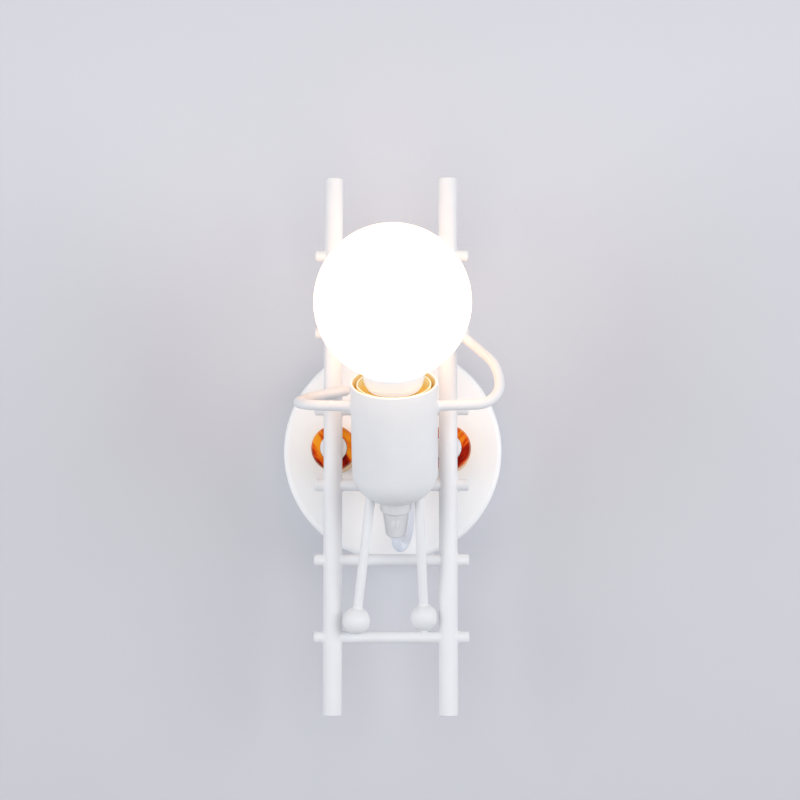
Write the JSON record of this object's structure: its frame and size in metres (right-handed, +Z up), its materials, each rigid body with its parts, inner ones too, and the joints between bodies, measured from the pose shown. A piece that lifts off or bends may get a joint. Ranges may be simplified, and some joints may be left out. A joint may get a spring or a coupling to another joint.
{
  "type": "wall lamp",
  "caption": "White metal wall lamp: a climber of bent rod with ball feet on a ladder, its cup body holding a globe bulb, on wooden standoffs from a round wall canopy.",
  "frame": {"origin": "Midway between the two wall screw slots of the mounting strap, on the plane of the wall.", "axes": "+Z is up along the rails, +Y points into the wall so the lamp stands out towards -Y, and +X is to the right for someone facing the lamp."},
  "size_m": [0.1205, 0.1656, 0.288],
  "materials": {
    "white_coat": "satin white powder coat with a fine orange-peel texture",
    "plated_steel": "zinc-plated steel",
    "brass": "plain brass",
    "terminal_plastic": "pale moulded terminal plastic",
    "white_rubber": "soft white rubber",
    "stained_wood": "turned hardwood stained orange-brown with dark streaks, thin lacquer",
    "holder_plastic": "ivory heat-proof plastic",
    "holder_insulator": "unglazed insulating disc",
    "nickel": "nickel-plated brass",
    "grip_plastic": "slightly translucent white moulded plastic",
    "cord_pvc": "pale round sheathed cord",
    "lead_insulation": "coloured core insulation",
    "opal_glass": "opal white glass, lit from inside",
    "black_insulator": "black glass insulator",
    "solder": "tinned contact",
    "clear_glass": "clear glass stem",
    "phosphor": "yellow phosphor-coated rods"
  },
  "bodies": {
    "lamp": {"mounting_strap": "plated_steel", "earth_screw": "brass", "earth_ring": "brass", "terminal_block": "terminal_plastic", "terminal_block_screw": "plated_steel", "terminal_tubes": "brass", "terminal_screws": "plated_steel", "canopy": "white_coat", "canopy_screws": "white_coat", "cord_grommet": "white_rubber", "standoff_bolts": "plated_steel", "standoff_washers": "plated_steel", "standoff_boss_left": "white_coat", "standoff_boss_right": "white_coat", "wood_sleeve_left": "stained_wood", "wood_sleeve_right": "stained_wood", "left_rail": "white_coat", "right_rail": "white_coat", "lamp_cup": "white_coat", "left_arm": "white_coat", "right_arm": "white_coat", "left_leg": "white_coat", "right_leg": "white_coat", "left_foot": "white_coat", "right_foot": "white_coat", "holder_sleeve": "holder_plastic", "holder_core": "holder_insulator", "holder_shell": "nickel", "centre_contact": "brass", "holder_terminals": "brass", "holder_cap": "holder_plastic", "nipple": "plated_steel", "nipple_nut": "plated_steel", "cord_grip_collar": "grip_plastic", "cord_grip_nose": "grip_plastic", "lamp_cord": "cord_pvc", "canopy_leads": "lead_insulation", "holder_leads": "lead_insulation", "rung_1": "white_coat", "rung_2": "white_coat", "rung_3": "white_coat", "rung_4": "white_coat", "rung_5": "white_coat", "rung_6": "white_coat"},
    "bulb": {"bulb_globe": "opal_glass", "bulb_cap": "nickel", "bulb_insulator": "black_insulator", "bulb_contact": "solder", "bulb_stem": "clear_glass", "bulb_filaments": "phosphor"}
  },
  "joints": [
    {"name": "bulb_lift", "type": "slide", "parent": "lamp", "child": "bulb", "axis": [0, -0.4695, 0.8829], "range_m": [0, 0.04]}
  ]
}
